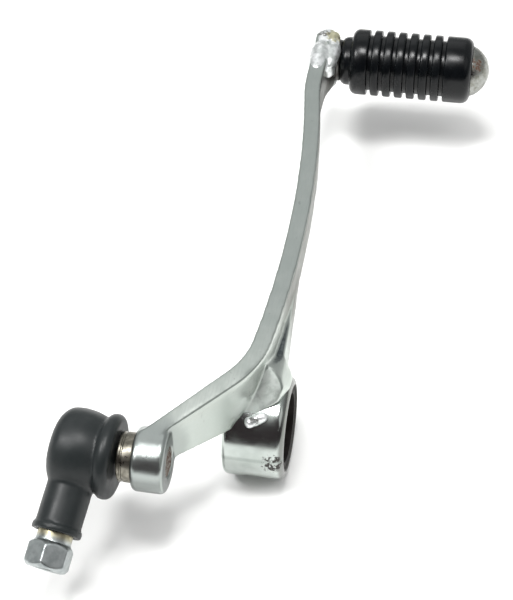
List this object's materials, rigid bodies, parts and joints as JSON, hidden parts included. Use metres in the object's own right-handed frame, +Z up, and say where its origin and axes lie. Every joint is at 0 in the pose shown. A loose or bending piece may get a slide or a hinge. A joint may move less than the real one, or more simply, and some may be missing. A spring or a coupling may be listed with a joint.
{
  "type": "motorcycle gear shift lever",
  "caption": "Foot gear shift lever: curved flat steel bar on a pivot tube, ribbed rubber toe peg at one end, booted ball joint with threaded shank at the other.",
  "frame": {"origin": "centre of the pivot bore, halfway along the tube", "axes": "+X along the lever to the toe peg, -Y along the pivot bore to the side the toe peg sticks out of, +Z up"},
  "size_m": [0.2283, 0.1061, 0.0447],
  "materials": {
    "bar_steel": "satin",
    "tube_chrome": "polished",
    "weld_steel": "bright, rippled",
    "bush_plastic": "matte",
    "collar_steel": "dull",
    "pin_steel": "dull",
    "peg_rubber": "semi-gloss",
    "stud_steel": "dull",
    "seat_resin": "matte",
    "zinc_steel": "yellow zinc plated",
    "plug_steel": "dull",
    "boot_rubber": "matte"
  },
  "bodies": {
    "lever": {"lever_bar": "bar_steel", "pivot_tube": "tube_chrome", "pivot_weld": "weld_steel", "pivot_bush": "bush_plastic", "peg_collar": "collar_steel", "peg_weld": "weld_steel", "peg_pin": "pin_steel", "peg_rubber": "peg_rubber", "ball_stud": "stud_steel"},
    "boot": {"dust_boot": "boot_rubber"},
    "rod_end": {"rod_end": "zinc_steel", "ball_seat": "seat_resin", "seat_plug": "plug_steel"}
  },
  "joints": [
    {"name": "rod_end_spin", "type": "hinge", "parent": "lever", "child": "boot", "pos_m": [-0.032, 0.0428, 0.0182], "axis": [0, 1, 0], "continuous": true},
    {"name": "rod_end_tilt", "type": "hinge", "parent": "boot", "child": "rod_end", "pos_m": [-0.032, 0.0428, 0.0182], "axis": [-0.4695, 0, 0.8829], "range_deg": [-13, 27], "deforming": ["dust_boot"]}
  ]
}
